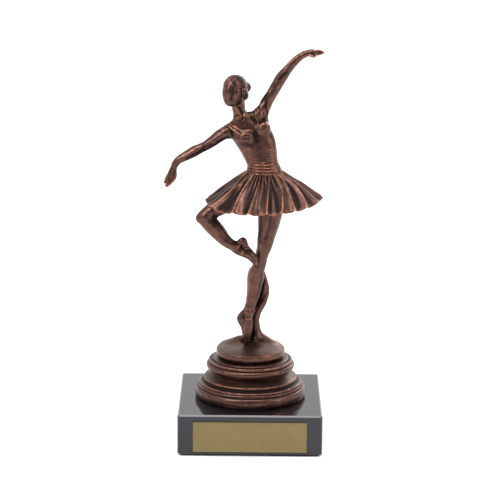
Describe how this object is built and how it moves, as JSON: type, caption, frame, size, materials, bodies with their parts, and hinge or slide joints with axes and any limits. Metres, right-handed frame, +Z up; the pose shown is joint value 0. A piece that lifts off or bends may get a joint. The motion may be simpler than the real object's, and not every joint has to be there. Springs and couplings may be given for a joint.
{
  "type": "dancer statuette",
  "caption": "Cast bronze ballet dancer on pointe, one foot drawn up to the knee and one arm raised, on a moulded round plinth and a polished square stone block with a blank plate",
  "frame": {"origin": "centre of the underside of the felt, on the surface that the statuette stands on", "axes": "+Z up; the figure's front and the name plate face -Y; +X is to the viewer's right when looking at the front"},
  "size_m": [0.077, 0.0707, 0.1937],
  "materials": {
    "bronze": "satin brown patina with worn coppery edges",
    "marble": "polished black",
    "plate_brass": "matte gold",
    "fixing_steel": "plain",
    "felt": "felt",
    "adhesive_film": "matte"
  },
  "bodies": {
    "root": {"base_felt": "felt", "marble_block": "marble", "plate_tape": "adhesive_film", "name_plate": "plate_brass", "clamp_stud": "fixing_steel", "clamp_nut": "fixing_steel", "clamp_washer": "fixing_steel", "plinth_foot": "bronze", "plinth_middle": "bronze", "plinth_top": "bronze", "ground_mound": "bronze", "toe_dowel": "fixing_steel", "support_dowel": "fixing_steel", "standing_leg": "bronze", "raised_leg": "bronze", "knee_dowel": "fixing_steel", "hip_dowels": "fixing_steel", "pelvis": "bronze", "skirt": "bronze", "waist_stud": "fixing_steel", "waist_sash": "bronze", "bodice": "bronze", "shoulder_dowels": "fixing_steel", "right_arm": "bronze", "left_arm": "bronze", "neck_dowel": "fixing_steel", "head": "bronze", "bun_dowel": "fixing_steel", "hair_bun": "bronze"}
  },
  "joints": []
}
